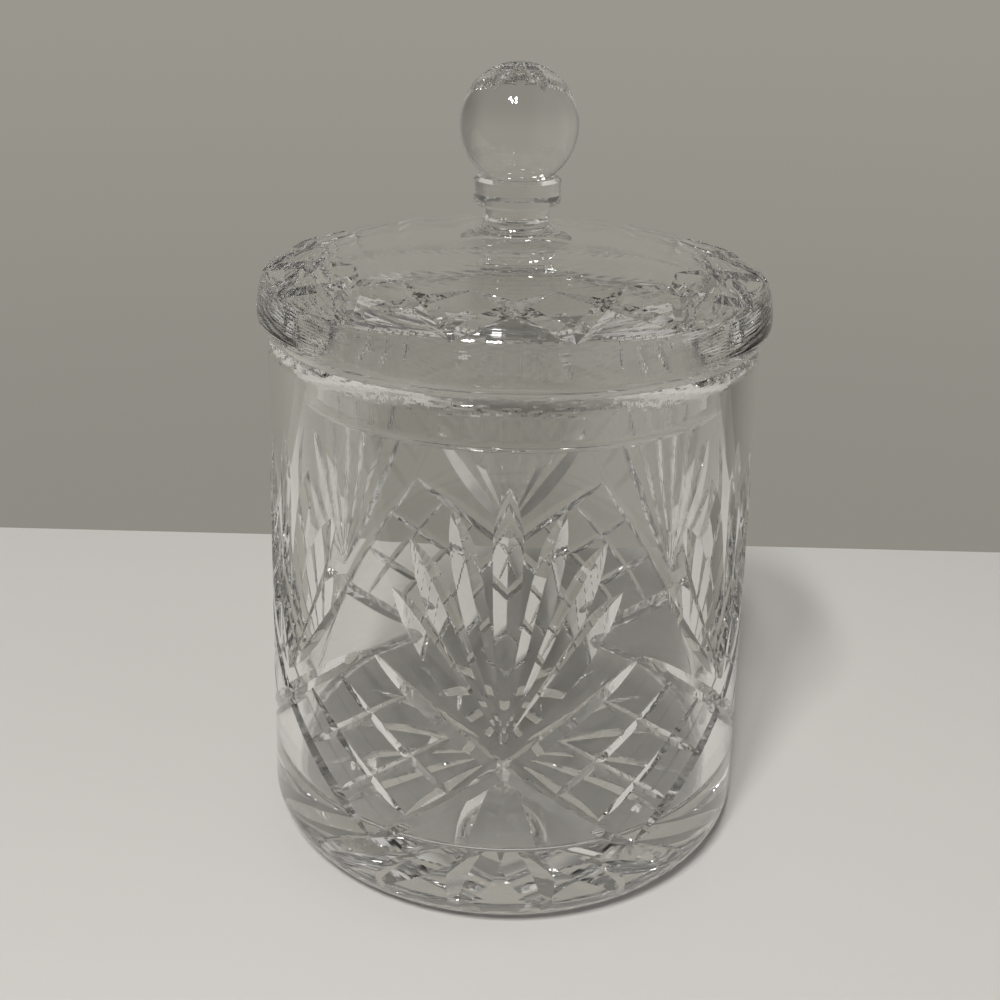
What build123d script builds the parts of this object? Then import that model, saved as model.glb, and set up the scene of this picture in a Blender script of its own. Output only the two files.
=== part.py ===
from build123d import *
import os
from math import asin, cos, degrees, radians, sin, sqrt, tan

# Crystal canister: a cut-glass jar and its domed lid, which lifts off by a ball knob. Millimetres.
# The origin is the middle of the base, +Z is up and -Y is the front.

# Jar, blown thick, a little wider at the foot, rounded at the lip and ground flat under the foot
jar_height = 135.0
rim_radius = 60.0
base_radius = 64.0
wall = 7.0
floor = 19.0
heel_radius = 9.0
floor_corner_radius = 3.0
rim_round = 4.5
mouth_bevel = 0.8

# Lid, resting on the rim, with a locating ring that hangs in the mouth. Overhangs are past the rim.
belly_overhang = 2.3
belly_height = 4.5
flange_overhang = 0.4
lid_height = 22.2
dome_radius = 205.0
shoulder_overhang = 0.3
shoulder_radius = 3.5
lid_thickness = 7.0
ring_depth = 14.5
ring_wall = 5.0
ring_clearance = 0.5
ring_flat = 0.2
hollow_corner_radius = 5.0
neck_radius = 7.9
neck_height = 6.2
neck_flare = 3.5
ground_hollow_radius = 13.0
ground_hollow_depth = 1.5

# Knob, a ball that rises out of a collar
ball_radius = 14.0
ball_seat = 2.4
collar_radius = 10.4
collar_height = 6.7
collar_bevel = 0.8

# Cutting wheels have a V-shaped edge. Each stroke leaves a leaf-shaped cut, pointed at both ends.
# A cut's sink is how far the wheel goes below the straight line between those ends.
mitre_angle = 110.0
cut_overrun = 2.6
swing_share = 1.15

# Fans and lozenges repeat round the jar. Their heights are shares of the jar's.
repeat_count = 6
lozenge_middle_share = 0.341
lozenge_half_height_share = 0.193
edge_depth = 1.4
edge_overshoot_share = 0.06
hatch_lines = 2
hatch_depth = 0.85
hatch_inset_share = 0.02
fan_root_share = 0.392
fan_length_share = 0.47
blade_step = 12.0
blade_angle = 120.0
blade_sink = 2.0
blade_deepest_share = 0.78
# Blades from the middle of a fan outwards: steps to the side, share of the length, share of the sink
blade_shares = ((0, 1.0, 1.0), (1, 0.93, 0.8), (2, 0.85, 0.65), (3, 0.71, 0.5))

# Star under the base, with a flat margin left round it to stand on
base_star_rays = 16
base_star_start = 8.0
base_star_margin = 12.0
base_star_angle = 130.0
base_star_sink = 2.2

# Ring of lozenges on the lid, cut from a drop below the shoulder to a reach in from it over the dome
lid_lozenges = 15
lid_cut_drop = 1.1309
lid_cut_reach = 18.3
lid_cut_angle = 130.0
lid_cut_sink = 0.2

# Star on the ball's crown, from one angle off the pole to another
ball_star_rays = 6
ball_star_start = 5.0
ball_star_end = 54.0
ball_star_sink = 0.2

mouth_radius = rim_radius - wall
belly_radius = rim_radius + belly_overhang
flange_radius = rim_radius + flange_overhang
shoulder_reach = rim_radius + shoulder_overhang
lid_top = jar_height + lid_height
neck_top = lid_top + neck_height
dome_middle = lid_top - dome_radius
ball_middle = neck_top + collar_height + ball_radius - ball_seat


def turned(radius, angle, height):
    """The point at a radius and a height, turned by an angle from the front towards +X."""
    return Vector(radius * sin(radians(angle)), -radius * cos(radians(angle)), height)


def wall_radius(height):
    return base_radius + (rim_radius - base_radius) * height / jar_height


def on_wall(angle, height):
    return turned(wall_radius(height), angle, height)


def on_dome(angle, radius):
    return turned(radius, angle, dome_middle + sqrt(dome_radius**2 - radius**2))


def on_ball(angle, tilt):
    return turned(ball_radius * sin(radians(tilt)), angle, ball_middle + ball_radius * cos(radians(tilt)))


def mitre_wheel(start, end, outward, sink):
    """Place a wheel whose edge enters the glass at start, leaves it at end and sinks most half way."""
    along = (end - start).normalized()
    axle_direction = along.cross(outward).normalized()
    up = axle_direction.cross(along)
    half_chord = (end - start).length / 2
    radius = (half_chord**2 + sink**2) / (2 * sink)
    middle = (start + end) / 2 + up * (radius - sink)
    swing = degrees(asin(half_chord / radius)) * swing_share
    first = along * -sin(radians(swing)) - up * cos(radians(swing))
    edge_plane = Plane(origin=middle, x_dir=first, z_dir=axle_direction.cross(first))
    return edge_plane, Axis(middle, axle_direction), radius, 2 * swing


def wall_wheel(start, end, depth):
    """Place a wheel that hugs the jar's wall between two (angle, height) places, deepest half way."""
    outward = turned(1, (start[0] + end[0]) / 2, 0)
    wall_bulge = wall_radius((start[1] + end[1]) / 2) * (1 - cos(radians(end[0] - start[0]) / 2))
    return mitre_wheel(on_wall(*start), on_wall(*end), outward, depth - wall_bulge)


def blade_wheels(tip_angle, tip_height, sink):
    """Place the two wheels of a fan blade, which meet at its deepest place, not far from the tip."""
    root = on_wall(0, fan_root)
    tip = on_wall(tip_angle, tip_height)
    along = (tip - root).normalized()
    axle_direction = along.cross(turned(1, tip_angle / 2, 0)).normalized()
    up = axle_direction.cross(along)
    deepest = root + (tip - root) * blade_deepest_share - up * sink
    wheels = []
    for run_share in (-blade_deepest_share, 1 - blade_deepest_share):
        run = (tip - root).length * run_share
        radius = (run**2 + sink**2) / (2 * sink)
        middle = deepest + up * radius
        edge_plane = Plane(origin=middle, x_dir=-up, z_dir=along)
        swing = degrees(asin(run / radius)) * swing_share
        wheels.append((edge_plane, Axis(middle, axle_direction), radius, swing))
    return wheels


# Fan blades spread up and out from one root, laid out on the unrolled wall
fan_root = fan_root_share * jar_height
fan_length = fan_length_share * jar_height
fan_wheels = []
for step, length_share, sink_share in blade_shares:
    for side in (-1, 1) if step else (1,):
        lean = radians(side * step * blade_step)
        tip_height = fan_root + fan_length * length_share * cos(lean)
        tip_angle = degrees(fan_length * length_share * sin(lean) / wall_radius(tip_height))
        fan_wheels += blade_wheels(tip_angle, tip_height, blade_sink * sink_share)

# Two long strokes cross below each fan and bound the lozenges. The one on the fan's right is hatched.
half_repeat = 180 / repeat_count
lozenge_middle = lozenge_middle_share * jar_height
lozenge_half_height = lozenge_half_height_share * jar_height
lozenge_wheels = []
for side in (-1, 1):
    corner_angle = half_repeat * (1 + edge_overshoot_share)
    corner_rise = side * lozenge_half_height * (1 + edge_overshoot_share)
    low_corner = (-corner_angle, lozenge_middle - corner_rise)
    high_corner = (corner_angle, lozenge_middle + corner_rise)
    lozenge_wheels.append(wall_wheel(low_corner, high_corner, edge_depth))
    for line in range(1, hatch_lines + 1):
        across = line / (hatch_lines + 1)
        ends = []
        for along in (hatch_inset_share, 1 - hatch_inset_share):
            angle = half_repeat + side * half_repeat * (along + across - 1)
            ends.append((angle, lozenge_middle + lozenge_half_height * (along - across)))
        lozenge_wheels.append(wall_wheel(*ends, hatch_depth))

with BuildPart() as wall_cuts:
    for wheels, angle in ((fan_wheels, blade_angle), (lozenge_wheels, mitre_angle)):
        for edge_plane, axle, radius, swing in wheels:
            edge_height = blade_sink + cut_overrun
            half_width = edge_height * tan(radians(angle / 2))
            with BuildSketch(edge_plane):
                with BuildLine():
                    back = radius - edge_height
                    Polyline((radius, 0), (back, half_width), (back, -half_width), close=True)
                make_face()
            revolve(axis=axle, revolution_arc=swing)

# One ray of the star under the base
with BuildPart() as base_cut:
    ray_start = Vector(0, -base_star_start, 0)
    ray_end = Vector(0, base_star_margin - base_radius, 0)
    edge_plane, axle, radius, swing = mitre_wheel(ray_start, ray_end, Vector(0, 0, -1), base_star_sink)
    edge_height = base_star_sink + cut_overrun
    half_width = edge_height * tan(radians(base_star_angle / 2))
    with BuildSketch(edge_plane):
        with BuildLine():
            back = radius - edge_height
            Polyline((radius, 0), (back, half_width), (back, -half_width), close=True)
        make_face()
    revolve(axis=axle, revolution_arc=swing)

# The jar's section is turned, then the wall and the underside are cut
with BuildPart() as jar:
    floor_corner = (wall_radius(floor) - wall, floor)
    with BuildSketch(Plane.XZ) as jar_section:
        with BuildLine():
            Polyline(
                (0, 0),
                (base_radius, 0),
                (rim_radius, jar_height),
                (mouth_radius, jar_height),
                floor_corner,
                (0, floor),
                close=True,
            )
        make_face()
        fillet(jar_section.vertices().sort_by_distance((base_radius, 0))[0], heel_radius)
        fillet(jar_section.vertices().sort_by_distance((rim_radius, jar_height))[0], rim_round)
        chamfer(jar_section.vertices().sort_by_distance((mouth_radius, jar_height))[0], mouth_bevel)
        fillet(jar_section.vertices().sort_by_distance(floor_corner)[0], floor_corner_radius)
    revolve(axis=Axis.Z)
    with PolarLocations(0, repeat_count):
        add(wall_cuts.part, mode=Mode.SUBTRACT)
    with PolarLocations(0, base_star_rays, start_angle=180 / base_star_rays):
        add(base_cut.part, mode=Mode.SUBTRACT)
jar.part.label = "jar"

# The lid bulges out to its belly in a round side between the shoulder and the flange
shoulder = (shoulder_reach, dome_middle + sqrt(dome_radius**2 - shoulder_reach**2))
belly = (belly_radius, jar_height + belly_height)
side_back = belly_radius - shoulder_reach
side_radius = (side_back**2 + (shoulder[1] - belly[1]) ** 2) / (2 * side_back)

# Two strokes cross at the front of the lid's shoulder, each one lozenge wide
with BuildPart() as lid_cuts:
    half_lozenge = 180 / lid_lozenges
    stroke_low = shoulder[1] - lid_cut_drop
    stroke_reach = belly_radius - side_radius + sqrt(side_radius**2 - (stroke_low - belly[1]) ** 2)
    for side in (-1, 1):
        stroke_start = turned(stroke_reach, -side * half_lozenge, stroke_low)
        stroke_end = on_dome(side * half_lozenge, shoulder_reach - lid_cut_reach)
        outward = (stroke_start + stroke_end) / 2 - Vector(0, 0, dome_middle)
        edge_plane, axle, radius, swing = mitre_wheel(stroke_start, stroke_end, outward, lid_cut_sink)
        edge_height = lid_cut_sink + cut_overrun
        half_width = edge_height * tan(radians(lid_cut_angle / 2))
        with BuildSketch(edge_plane):
            with BuildLine():
                back = radius - edge_height
                Polyline((radius, 0), (back, half_width), (back, -half_width), close=True)
            make_face()
        revolve(axis=axle, revolution_arc=swing)

# The lid's section: neck, dome, belly and flange outside, locating ring and hollow inside
with BuildPart() as lid:
    ring_foot_radius = wall_radius(jar_height - ring_depth) - wall
    ring_radius = min(mouth_radius, ring_foot_radius) - ring_clearance
    hollow_radius = ring_radius - ring_wall
    inner_dome_radius = dome_radius - lid_thickness
    hollow_corner = (hollow_radius, dome_middle + sqrt(inner_dome_radius**2 - hollow_radius**2))
    ground_edge = (ground_hollow_radius, dome_middle + sqrt(inner_dome_radius**2 - ground_hollow_radius**2))
    hollow_top = (0, ground_edge[1] + ground_hollow_depth)
    neck_foot = (neck_radius, dome_middle + sqrt(dome_radius**2 - neck_radius**2))
    with BuildSketch(Plane.XZ) as lid_section:
        with BuildLine():
            Polyline(hollow_top, (0, neck_top), (neck_radius, neck_top), neck_foot)
            RadiusArc(neck_foot, shoulder, dome_radius)
            TangentArc(belly, shoulder, tangent=(0, 1))
            TangentArc(belly, (flange_radius, jar_height), tangent=(0, -1))
            Polyline(
                (flange_radius, jar_height),
                (ring_radius, jar_height),
                (ring_radius, jar_height - ring_depth),
                (hollow_radius, jar_height - ring_depth),
                hollow_corner,
            )
            RadiusArc(hollow_corner, ground_edge, -inner_dome_radius)
            TangentArc(hollow_top, ground_edge, tangent=(1, 0))
        make_face()
        fillet(lid_section.vertices().sort_by_distance(neck_foot)[0], neck_flare)
        fillet(lid_section.vertices().sort_by_distance(shoulder)[0], shoulder_radius)
        fillet(lid_section.vertices().sort_by_distance(hollow_corner)[0], hollow_corner_radius)
        fillet(lid_section.vertices().group_by(Axis.Y)[0], (ring_wall - ring_flat) / 2)
    revolve(axis=Axis.Z)
    with PolarLocations(0, lid_lozenges):
        add(lid_cuts.part, mode=Mode.SUBTRACT)
lid.part.label = "lid"

# One leaf of the star on the ball, half a step to the side of the front
with BuildPart() as ball_cut:
    half_step = 180 / ball_star_rays
    leaf_start = on_ball(half_step, ball_star_start)
    leaf_end = on_ball(half_step, ball_star_end)
    outward = (leaf_start + leaf_end) / 2 - Vector(0, 0, ball_middle)
    edge_plane, axle, radius, swing = mitre_wheel(leaf_start, leaf_end, outward, ball_star_sink)
    edge_height = ball_star_sink + cut_overrun
    half_width = edge_height * tan(radians(mitre_angle / 2))
    with BuildSketch(edge_plane):
        with BuildLine():
            back = radius - edge_height
            Polyline((radius, 0), (back, half_width), (back, -half_width), close=True)
        make_face()
    revolve(axis=axle, revolution_arc=swing)

# The knob stands on the neck: a collar with the ball let a little way into it
with BuildPart() as knob:
    with BuildSketch(Plane.XZ) as knob_section:
        with Locations((0, neck_top)):
            Rectangle(collar_radius, collar_height, align=(Align.MIN, Align.MIN))
        chamfer(knob_section.vertices().group_by(Axis.X)[-1], collar_bevel)
        with BuildLine():
            Line((0, ball_middle - ball_radius), (0, ball_middle + ball_radius))
            RadiusArc((0, ball_middle + ball_radius), (0, ball_middle - ball_radius), ball_radius)
        make_face()
    revolve(axis=Axis.Z)
    with PolarLocations(0, ball_star_rays):
        add(ball_cut.part, mode=Mode.SUBTRACT)
knob.part.label = "knob"

os.makedirs("parts", exist_ok=True)
export_step(jar.part, "parts/jar.step")
export_step(lid.part, "parts/lid.step")
export_step(knob.part, "parts/knob.step")
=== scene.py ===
from math import asin, atan, atan2, cos, pi, radians, sin, sqrt, tan

import bpy
from mathutils import Matrix, Vector


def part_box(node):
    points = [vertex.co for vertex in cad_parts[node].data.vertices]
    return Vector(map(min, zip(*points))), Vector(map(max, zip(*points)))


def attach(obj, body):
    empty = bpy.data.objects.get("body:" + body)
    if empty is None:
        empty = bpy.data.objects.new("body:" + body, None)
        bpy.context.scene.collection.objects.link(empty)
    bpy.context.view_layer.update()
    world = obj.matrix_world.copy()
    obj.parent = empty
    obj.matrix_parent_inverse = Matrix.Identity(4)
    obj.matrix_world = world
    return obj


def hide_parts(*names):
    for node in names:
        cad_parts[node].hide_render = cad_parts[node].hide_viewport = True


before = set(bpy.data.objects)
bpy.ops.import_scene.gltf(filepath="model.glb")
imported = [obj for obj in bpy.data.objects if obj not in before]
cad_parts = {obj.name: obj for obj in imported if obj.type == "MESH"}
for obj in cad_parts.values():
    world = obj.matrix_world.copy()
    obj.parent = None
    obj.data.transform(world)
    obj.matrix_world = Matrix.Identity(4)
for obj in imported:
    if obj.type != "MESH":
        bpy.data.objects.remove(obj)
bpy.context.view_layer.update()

# The jar is blown thick from clear lead crystal. Its lip is rounded, and its foot is ground flat and
# polished. V-edged wheels cut fans over a row of hatched lozenges into its wall, and a star under its foot.
# The turned body is drawn first, and each wheel then takes its strokes out of it.
mm = 0.001
jar_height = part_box("jar")[1].z
rim_radius = 60 * mm
base_radius = 64 * mm
wall = 7 * mm
floor = 19 * mm
heel_radius = 9 * mm
floor_corner_radius = 3 * mm
rim_round = 4.5 * mm
mouth_bevel = 0.8 * mm
mouth_radius = rim_radius - wall
wall_slope = (base_radius - rim_radius) / jar_height


class Shade:
    """A shader socket that takes part in Python sums, which add Math nodes to its material."""

    def __init__(self, tree, socket):
        self.tree = tree
        self.socket = socket

    def node(self, kind, settings, sockets, output=0):
        """Add a node, set it up, fill or link its sockets and return one of its outputs."""
        made = self.tree.nodes.new(kind)
        for name, value in settings.items():
            setattr(made, name, value)
        for name, value in sockets.items():
            if isinstance(value, Shade):
                self.tree.links.new(value.socket, made.inputs[name])
            else:
                made.inputs[name].default_value = value
        return Shade(self.tree, made.outputs[output])

    def math(self, operation, first, second):
        return self.node("ShaderNodeMath", {"operation": operation}, {0: first, 1: second})

    def __add__(self, other):
        return self.math("ADD", self, other)

    __radd__ = __add__

    def __sub__(self, other):
        return self.math("SUBTRACT", self, other)

    def __rsub__(self, other):
        return self.math("SUBTRACT", other, self)

    def __mul__(self, other):
        return self.math("MULTIPLY", self, other)

    __rmul__ = __mul__


def crystal(name):
    """Polished lead crystal: clear, very slightly uneven from the blowing, with a trace of handling film."""
    material = bpy.data.materials.new(name)
    material.use_nodes = True
    tree = material.node_tree
    glass = tree.nodes["Principled BSDF"]
    glass.inputs["Base Color"].default_value = (0.962, 0.962, 0.949, 1)
    glass.inputs["Transmission Weight"].default_value = 1
    glass.inputs["IOR"].default_value = 1.545
    place = tree.nodes.new("ShaderNodeTexCoord")
    here = Shade(tree, place.outputs["Object"])
    film = here.node("ShaderNodeTexNoise", {}, {"Vector": here, "Scale": 55, "Detail": 4, "Roughness": 0.6})
    film_patches = here.node(
        "ShaderNodeMapRange",
        {"interpolation_type": "SMOOTHSTEP"},
        {"Value": film, "From Min": 0.5, "From Max": 0.72, "To Min": 0, "To Max": 0.02},
    )
    tree.links.new(film_patches.socket, glass.inputs["Roughness"])
    ripple = here.node("ShaderNodeTexNoise", {}, {"Vector": here, "Scale": 45, "Detail": 1})
    bump = here.node("ShaderNodeBump", {}, {"Strength": 1, "Distance": 0.0001, "Height": ripple})
    tree.links.new(bump.socket, glass.inputs["Normal"])
    return material


def lone_point(place):
    """Start a new mesh as a single point, and stay in edit mode."""
    bpy.ops.object.select_all(action="DESELECT")
    bpy.ops.mesh.primitive_plane_add(size=mm)
    bpy.ops.object.mode_set(mode="EDIT")
    bpy.ops.mesh.select_all(action="SELECT")
    bpy.ops.mesh.merge(type="CENTER")
    bpy.ops.transform.translate(value=place)
    return bpy.context.object


class Outline:
    """A chain of edges in the XZ plane, drawn run by run in edit mode from a starting point."""

    def __init__(self, name, x, z):
        self.body = lone_point((x, 0, z))
        self.body.name = name
        self.x = x
        self.z = z

    def line(self, x, z):
        """Go straight to a point."""
        bpy.ops.mesh.extrude_region_move(TRANSFORM_OT_translate={"value": (x - self.x, 0, z - self.z)})
        self.x = x
        self.z = z

    def arc(self, middle, swing, steps):
        """Go round a middle point by an angle in degrees, positive from +X towards +Z."""
        pivot = (middle[0], 0, middle[1])
        bpy.ops.mesh.spin(steps=steps, angle=radians(swing), center=pivot, axis=(0, 1, 0))
        arm = Matrix.Rotation(radians(swing), 2) @ Vector((self.x - middle[0], self.z - middle[1]))
        self.x = middle[0] + arm.x
        self.z = middle[1] + arm.y

    def turn(self, steps):
        """Turn the outline, which starts and ends on the Z axis, into a closed body."""
        bpy.ops.mesh.select_all(action="SELECT")
        bpy.ops.mesh.spin(steps=steps, angle=2 * pi, axis=(0, 0, 1))
        bpy.ops.mesh.select_all(action="SELECT")
        bpy.ops.mesh.remove_doubles(threshold=0.0005 * mm)
        bpy.ops.mesh.normals_make_consistent(inside=False)
        bpy.ops.object.mode_set(mode="OBJECT")
        return self.body


def edge_of_wheel(keel, back, side):
    """Draw the V of a wheel's edge as one triangle, and stay in edit mode."""
    wheel = lone_point(keel)
    bpy.ops.mesh.extrude_region_move(TRANSFORM_OT_translate={"value": back + side - keel})
    bpy.ops.mesh.extrude_region_move(TRANSFORM_OT_translate={"value": -2 * side})
    bpy.ops.mesh.select_all(action="SELECT")
    bpy.ops.mesh.edge_face_add()
    return wheel


def take_away(body, wheel, count):
    """Repeat the wheel's path round the Z axis and cut it all out of a body."""
    bpy.ops.mesh.select_all(action="SELECT")
    bpy.ops.mesh.normals_make_consistent(inside=False)
    bpy.ops.mesh.spin(steps=count - 1, dupli=True, angle=2 * pi * (count - 1) / count, axis=(0, 0, 1))
    bpy.ops.object.mode_set(mode="OBJECT")
    stroke = body.modifiers.new("stroke", "BOOLEAN")
    stroke.operation = "DIFFERENCE"
    stroke.solver = "MANIFOLD"
    stroke.object = wheel
    bpy.context.view_layer.objects.active = body
    bpy.ops.object.modifier_apply(modifier=stroke.name)
    bpy.data.objects.remove(wheel)


def leaf(body, start, end, outward, sink, count, angle_of_v=110, deepest=0.5, sag=0, steps=20):
    """Cut leaf-shaped strokes from start to end, repeated round the Z axis.

    The wheel sinks most below the straight line between the ends at the share deepest of the way.
    The glass bulges over that line by the sag. The wheel swings on past both ends, and its back stays
    clear of the glass.
    """
    swing_on = 1.1
    clear_of_glass = 0.4 * mm
    along = (end - start).normalized()
    axle = along.cross(outward).normalized()
    up = axle.cross(along)
    runs = ((end - start).length * deepest, (end - start).length * (1 - deepest))
    radii = [(run**2 + sink**2) / (2 * sink) for run in runs]
    swings = [asin(run / radius) * swing_on for run, radius in zip(runs, radii)]
    keel = start + along * runs[0] - up * sink
    middles = [keel + up * radius for radius in radii]
    height = sink + sag + clear_of_glass
    to_start = Matrix.Rotation(-swings[0], 3, axle)
    at_start = [middles[0] + to_start @ (point - middles[0]) for point in (keel, keel + up * height)]
    wheel = edge_of_wheel(*at_start, axle * height * tan(radians(angle_of_v / 2)))
    for swing, middle in zip(swings, middles):
        bpy.ops.mesh.spin(steps=steps, angle=-swing, center=middle, axis=axle)
    take_away(body, wheel, count)


def round_z(radius, angle, height):
    """The point at a radius and a height, turned by an angle in degrees from the front towards +X."""
    return Vector((radius * sin(radians(angle)), -radius * cos(radians(angle)), height))


def on_wall(angle, height):
    return round_z(base_radius - wall_slope * height, angle, height)


def groove(body, start, end, depth, count, angle_of_v=110, runs=10):
    """Cut V-grooves along the wall between two (angle, height) places, repeated round the Z axis.

    A groove follows the wall at one depth, and rises to a point at both ends. The steeper the ends, the
    longer it keeps its depth.
    """
    clear_of_glass = 0.3 * mm
    end_steepness = 6
    rise = end[1] - start[1]
    swing = radians(end[0] - start[0])
    keel_radius = on_wall(*start).xy.length
    lean = atan2(rise, keel_radius * swing)
    across = round_z(-sin(lean), start[0] + 90, cos(lean))
    height = depth + clear_of_glass
    keel = round_z(keel_radius, *start)
    back = round_z(keel_radius + height, *start)
    wheel = edge_of_wheel(keel, back, across * height * tan(radians(angle_of_v / 2)))
    shares = [(1 - cos(pi * run / runs)) / 2 for run in range(runs + 1)]
    for before, share in zip(shares, shares[1:]):
        step = share - before
        wall_here = on_wall(0, start[1] + rise * share).xy.length
        new_radius = wall_here - depth * (1 - (2 * share - 1) ** end_steepness)
        bpy.ops.mesh.spin(steps=1, angle=-swing * step, axis=(0, 0, 1))
        bpy.ops.transform.translate(value=(0, 0, rise * step))
        grow = new_radius / keel_radius
        bpy.ops.transform.resize(value=(grow, grow, 1), center_override=(0, 0, 0))
        keel_radius = new_radius
    take_away(body, wheel, count)


wall_lean = atan(wall_slope) * 180 / pi
tangent_share = wall_slope + sqrt(1 + wall_slope**2)
heel_middle = (base_radius - heel_radius * tangent_share, heel_radius)
rim_middle = (rim_radius - rim_round / tangent_share, jar_height - rim_round)
inner_foot = base_radius - wall - wall_slope * floor
corner_middle = (inner_foot - floor_corner_radius * tangent_share, floor + floor_corner_radius)
outline = Outline("jar_glass", 0, 0)
outline.line(heel_middle[0], 0)
outline.arc(heel_middle, 90 + wall_lean, steps=28)
outline.line(
    rim_middle[0] + rim_round * cos(radians(wall_lean)),
    rim_middle[1] + rim_round * sin(radians(wall_lean)),
)
outline.arc(rim_middle, 90 - wall_lean, steps=16)
outline.line(mouth_radius + mouth_bevel, jar_height)
outline.line(mouth_radius + wall_slope * mouth_bevel, jar_height - mouth_bevel)
outline.line(
    corner_middle[0] + floor_corner_radius * cos(radians(wall_lean)),
    corner_middle[1] + floor_corner_radius * sin(radians(wall_lean)),
)
outline.arc(corner_middle, -90 - wall_lean, steps=16)
outline.line(0, floor)
jar = outline.turn(steps=960)

repeat_count = 6
fan_root = 0.392 * jar_height
fan_length = 0.47 * jar_height
lean_step = 12
blade_v_angle = 120
blade_deepest = 0.78
# Blades from the middle of a fan outwards: steps of lean, share of the length, sink
blades = ((0, 1.0, 2.0 * mm), (1, 0.93, 1.6 * mm), (2, 0.85, 1.3 * mm), (3, 0.71, 1.0 * mm))
for step, length_share, sink in blades:
    for side in (-1, 1) if step else (1,):
        lean = radians(lean_step * side * step)
        tip_height = fan_root + fan_length * length_share * cos(lean)
        tip_angle = fan_length * length_share * sin(lean) / on_wall(0, tip_height).xy.length * 180 / pi
        root = on_wall(0, fan_root)
        tip = on_wall(tip_angle, tip_height)
        outward = round_z(1, tip_angle / 2, 0)
        sag = base_radius * (1 - cos(radians(tip_angle / 2)))
        leaf(jar, root, tip, outward, sink, repeat_count, blade_v_angle, blade_deepest, sag)

lozenge_middle = 0.341 * jar_height
lozenge_half_height = 0.193 * jar_height
lozenge_depth = 1.4 * mm
hatch_lines = 2
hatch_depth = 0.85 * mm
hatch_inset = 0.02
half_repeat = 180 / repeat_count
for side in (-1, 1):
    low_corner = (-half_repeat, lozenge_middle - side * lozenge_half_height)
    high_corner = (half_repeat, lozenge_middle + side * lozenge_half_height)
    groove(jar, low_corner, high_corner, lozenge_depth, repeat_count, runs=20)
    for line in range(1, hatch_lines + 1):
        across = line / (hatch_lines + 1)
        ends = []
        for along in (hatch_inset, 1 - hatch_inset):
            angle = half_repeat + side * half_repeat * (along + across - 1)
            ends.append((angle, lozenge_middle + lozenge_half_height * (along - across)))
        groove(jar, *ends, hatch_depth, repeat_count)

star_rays = 16
star_inner = 8 * mm
star_outer = 52 * mm
star_sink = 2.2 * mm
star_v_angle = 130
# Every other ray is cut in one pass, which keeps the wheels of a pass farther apart
for first_ray in (180 / star_rays, 540 / star_rays):
    star_start = round_z(star_inner, first_ray, 0)
    star_end = round_z(star_outer, first_ray, 0)
    leaf(jar, star_start, star_end, Vector((0, 0, -1)), star_sink, star_rays // 2, star_v_angle)

sharpest_smooth_edge = radians(16)
bpy.ops.object.shade_smooth_by_angle(angle=sharpest_smooth_edge)
jar.data.materials.clear()
jar.data.materials.append(crystal("crystal_jar"))
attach(jar, "jar")
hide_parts("jar")

# The lid is one piece of crystal with its knob: a dome on a flat flange, a locating ring that hangs in
# the mouth, and a ball that was gathered on a collar over a short neck. Wheels cut a ring of lozenges
# into its shoulder and a star into the ball's crown. It only rests on the rim, on a film of air.
air_film = 0.12 * mm
belly_radius = rim_radius + 2.3 * mm
belly_height = jar_height + 4.5 * mm
flange_radius = rim_radius + 0.4 * mm
shoulder_reach = rim_radius + 0.3 * mm
shoulder_radius = 3.5 * mm
lid_top = jar_height + 22.2 * mm
dome_radius = 205 * mm
dome_middle = (0, lid_top - dome_radius)
lid_thickness = 7 * mm
ring_radius = mouth_radius - 0.5 * mm
ring_bottom = jar_height - 14.5 * mm
ring_round = 2.4 * mm
hollow_radius = ring_radius - 5 * mm
hollow_corner_radius = 5 * mm
neck_radius = 7.9 * mm
neck_top = lid_top + 6.2 * mm
neck_flare = 3.5 * mm
punty_radius = 13 * mm
punty_depth = 1.5 * mm
collar_radius = 10.4 * mm
collar_top = neck_top + 6.7 * mm
collar_bevel = 0.8 * mm
ball_radius = 14 * mm
ball_middle = (0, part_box("knob")[1].z - ball_radius)


def dome_height(radius):
    return dome_middle[1] + sqrt(dome_radius**2 - radius**2)


def bulge_middle(radius, height, other_radius, other_height):
    """The middle of an arc that is upright at its widest point and passes through another point."""
    back = radius - other_radius
    rise = other_height - height
    return (radius - (back**2 + rise**2) / (2 * back), height)


def bearing(middle, x, z):
    """The angle in degrees at which a point stands about a middle, from +X towards +Z."""
    return atan2(z - middle[1], x - middle[0]) * 180 / pi


def meeting(first, first_radius, second, second_radius):
    """The outer of the two points where a circle about first meets a circle about second."""
    apart = Vector(second) - Vector(first)
    share = (first_radius**2 - second_radius**2 + apart.length_squared) / (2 * apart.length_squared)
    out = sqrt(first_radius**2 / apart.length_squared - share**2)
    return (first[0] + apart.x * share - apart.y * out, first[1] + apart.y * share + apart.x * out)


flange_bottom = jar_height + air_film
under_middle = bulge_middle(belly_radius, belly_height, flange_radius, flange_bottom)
side_middle = bulge_middle(belly_radius, belly_height, shoulder_reach, dome_height(shoulder_reach))
side_radius = belly_radius - side_middle[0]
shoulder_middle = meeting(
    side_middle,
    side_radius - shoulder_radius,
    dome_middle,
    dome_radius - shoulder_radius,
)
shoulder_start = bearing(side_middle, *shoulder_middle)
shoulder_end = bearing(dome_middle, *shoulder_middle)
flare_reach = neck_radius + neck_flare
flare_middle = (flare_reach, dome_middle[1] + sqrt((dome_radius + neck_flare) ** 2 - flare_reach**2))
flare_start = bearing(dome_middle, *flare_middle)
inner_dome = dome_radius - lid_thickness
corner_reach = hollow_radius - hollow_corner_radius
corner_height = dome_middle[1] + sqrt((inner_dome - hollow_corner_radius) ** 2 - corner_reach**2)
corner_middle = (corner_reach, corner_height)
corner_start = bearing(dome_middle, *corner_middle)
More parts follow.
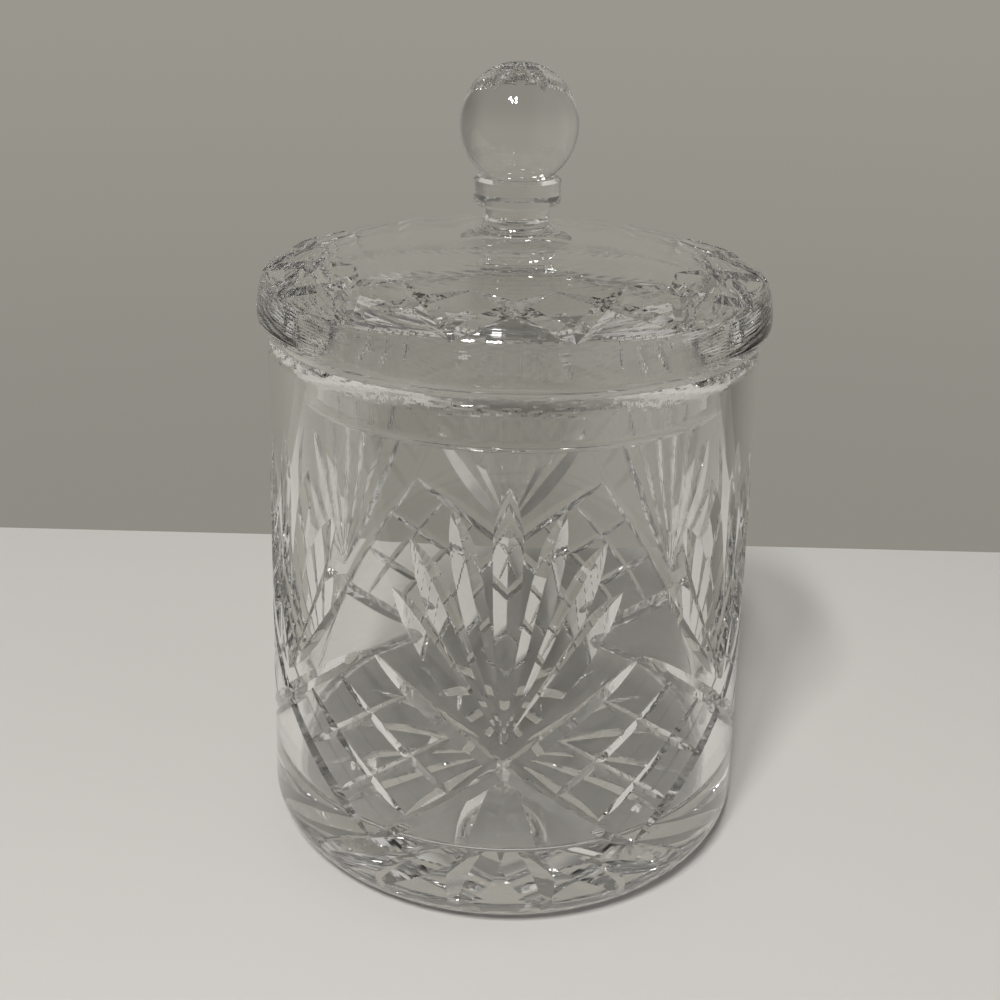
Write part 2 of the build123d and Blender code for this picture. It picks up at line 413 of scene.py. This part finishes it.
punty_edge = (punty_radius, dome_middle[1] + sqrt(inner_dome**2 - punty_radius**2))
punty_top = punty_edge[1] + punty_depth
punty_middle = (0, punty_top - (punty_radius**2 + punty_depth**2) / (2 * punty_depth))
outline = Outline("lid_glass", 0, punty_top)
outline.arc(punty_middle, bearing(punty_middle, *punty_edge) - 90, steps=10)
outline.arc(dome_middle, corner_start - bearing(dome_middle, *punty_edge), steps=14)
outline.arc(corner_middle, -corner_start, steps=12)
outline.line(hollow_radius, ring_bottom + ring_round)
outline.arc((hollow_radius + ring_round, ring_bottom + ring_round), 90, steps=8)
outline.line(ring_radius - ring_round, ring_bottom)
outline.arc((ring_radius - ring_round, ring_bottom + ring_round), 90, steps=8)
outline.line(ring_radius, flange_bottom)
outline.line(flange_radius, flange_bottom)
outline.arc(under_middle, -bearing(under_middle, flange_radius, flange_bottom), steps=10)
outline.arc(side_middle, shoulder_start, steps=10)
outline.arc(shoulder_middle, shoulder_end - shoulder_start, steps=8)
outline.arc(dome_middle, flare_start - shoulder_end, steps=28)
outline.arc(flare_middle, -flare_start, steps=16)
outline.line(neck_radius, neck_top)
outline.line(collar_radius - collar_bevel, neck_top)
outline.line(collar_radius, neck_top + collar_bevel)
outline.line(collar_radius, collar_top - collar_bevel)
outline.line(collar_radius - collar_bevel, collar_top)
ball_foot = asin((collar_top - ball_middle[1]) / ball_radius)
outline.line(ball_radius * cos(ball_foot), collar_top)
outline.arc(ball_middle, 90 - ball_foot * 180 / pi, steps=48)
lid = outline.turn(steps=480)


def on_dome(angle, radius):
    return round_z(radius, angle, dome_height(radius))


def on_ball(angle, tilt):
    """The point of the ball at a tilt in degrees from its crown."""
    tilt = radians(tilt)
    return round_z(ball_radius * sin(tilt), angle, ball_middle[1] + ball_radius * cos(tilt))


lid_lozenges = 15
stroke_drop = 1.1309 * mm
stroke_inward = 18.3 * mm
stroke_sink = 0.2 * mm
stroke_v_angle = 130
shoulder_bulge = 1.8 * mm
stroke_low = dome_height(shoulder_reach) - stroke_drop
stroke_reach = side_middle[0] + sqrt(side_radius**2 - (stroke_low - belly_height) ** 2)
for side in (-1, 1):
    low_end = round_z(stroke_reach, -side * 180 / lid_lozenges, stroke_low)
    high_end = on_dome(side * 180 / lid_lozenges, shoulder_reach - stroke_inward)
    outward = (low_end + high_end) / 2 - Vector((0, 0, dome_middle[1]))
    leaf(lid, low_end, high_end, outward, stroke_sink, lid_lozenges, stroke_v_angle, sag=shoulder_bulge)

ball_leaves = 6
first_leaf_angle = 30
leaf_top_tilt = 5
leaf_foot_tilt = 54
leaf_sink = 0.2 * mm
ball_bulge = 2 * mm
leaf_start = on_ball(first_leaf_angle, leaf_top_tilt)
leaf_end = on_ball(first_leaf_angle, leaf_foot_tilt)
outward = (leaf_start + leaf_end) / 2 - Vector((0, 0, ball_middle[1]))
leaf(lid, leaf_start, leaf_end, outward, leaf_sink, ball_leaves, sag=ball_bulge)

bpy.ops.object.shade_smooth_by_angle(angle=sharpest_smooth_edge)
lid.data.materials.clear()
lid.data.materials.append(crystal("crystal_lid"))
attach(lid, "lid")
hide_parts("lid", "knob")

# The stage is a plain pale table top, one painted plane that is no deeper than it needs to be. It lies a
# hair below the foot, and the warm grey wall behind it is part of the light of the room.
table_depth = 0.33
table_back = 158 * mm
table_width = 3.0
table_drop = 0.2 * mm
bpy.ops.object.select_all(action="DESELECT")
bpy.ops.mesh.primitive_plane_add(size=1, location=(0, table_back - table_depth / 2, -table_drop))
table = bpy.context.object
table.name = "table"
table.scale = (table_width, table_depth, 1)
bpy.ops.object.transform_apply(location=True, rotation=True, scale=True)
paint = bpy.data.materials.new("pale_table")
paint.use_nodes = True
coat = paint.node_tree.nodes["Principled BSDF"]
coat.inputs["Base Color"].default_value = (0.60, 0.59, 0.575, 1)
coat.inputs["Roughness"].default_value = 0.6
table.data.materials.append(paint)

# The light of a plain room: a warm grey wall behind, a dim front with a window at the right, and four lamps
# that hang in front of the table, a little to the left, so that the jar's shadow falls behind it
world = bpy.data.worlds.new("room")
bpy.context.scene.world = world
world.use_nodes = True
room = world.node_tree.nodes["Background"]
way = Shade(world.node_tree, world.node_tree.nodes.new("ShaderNodeTexCoord").outputs["Generated"])
across, away, upward = (way.node("ShaderNodeSeparateXYZ", {}, {"Vector": way}, axis) for axis in "XYZ")


def fade(value, low, high, top):
    """Rise smoothly from nothing to a top as a value goes from low to high."""
    ends = {"Value": value, "From Min": low, "From Max": high, "To Min": 0, "To Max": top}
    return value.node("ShaderNodeMapRange", {"interpolation_type": "SMOOTHSTEP"}, ends)


behind = fade(away, 0.05, 0.5, 1)
ceiling = fade(upward, 0.5, 0.95, 0.06)
window = fade(across, 0.25, 0.8, 0.4)
dim_front = 0.1
open_room = dim_front + ceiling + window
above_table = fade(upward, -0.4, 0, 0.05)
bright_left = fade(across, -0.4, -0.85, 0.05)
dark_right = fade(across, 0.4, 0.85, 0.12)
foot_of_wall = 0.26
wall_light = foot_of_wall + above_table + bright_left - dark_right
brightness = open_room + behind * (wall_light - open_room)
tint = way.node(
    "ShaderNodeMix",
    {"data_type": "RGBA"},
    {"Factor": behind, "A": (1, 0.99, 0.97, 1), "B": (1.05, 1, 0.885, 1)},
    "Result",
)
world.node_tree.links.new(tint.socket, room.inputs["Color"])
world.node_tree.links.new(brightness.socket, room.inputs["Strength"])

lamp_left = -0.3
lamp_front = -1.0
lamp_height = 1.45
lamp_spread = 0.13
lamp_width = 0.12
for row in (-1, 1):
    for column in (-1, 1):
        light = bpy.data.lights.new(f"lamp_{row}_{column}", "AREA")
        light.shape = "RECTANGLE"
        light.size = lamp_width
        light.size_y = lamp_width
        light.energy = 7.2
        light.color = (1, 0.985, 0.96)
        lamp = bpy.data.objects.new(light.name, light)
        bpy.context.scene.collection.objects.link(lamp)
        hook = Vector((lamp_left + lamp_spread * column, lamp_front + lamp_spread * row, lamp_height))
        lamp.location = hook
        lamp.rotation_euler = (-hook).to_track_quat("-Z", "Y").to_euler()

# The camera stands where the outline of the jar, its rim and its cuts place it: a little higher than the
# knob, looking down on the lid, and rolled by about a degree
pitch = radians(23.66)
yaw = radians(-0.46)
roll = radians(-1.24)
forward = Vector((sin(yaw) * cos(pitch), cos(yaw) * cos(pitch), -sin(pitch)))
level_right = Vector((cos(yaw), -sin(yaw), 0))
level_down = forward.cross(level_right)
right = level_right * cos(roll) + level_down * sin(roll)
down = level_down * cos(roll) - level_right * sin(roll)
camera = bpy.data.objects.new("camera", bpy.data.cameras.new("camera"))
bpy.context.scene.collection.objects.link(camera)
camera.data.sensor_width = 36
camera.data.lens = 46.8
camera.matrix_world = Matrix((right, -down, -forward)).transposed().to_4x4()
camera.location = (0, -0.31138, 0.22288)
bpy.context.scene.camera = camera
bpy.context.scene.view_settings.view_transform = "Standard"
# Light crosses many faces of cut glass before it comes out
bpy.context.scene.cycles.max_bounces = 32
bpy.context.scene.cycles.transmission_bounces = 32
bpy.context.scene.cycles.glossy_bounces = 16
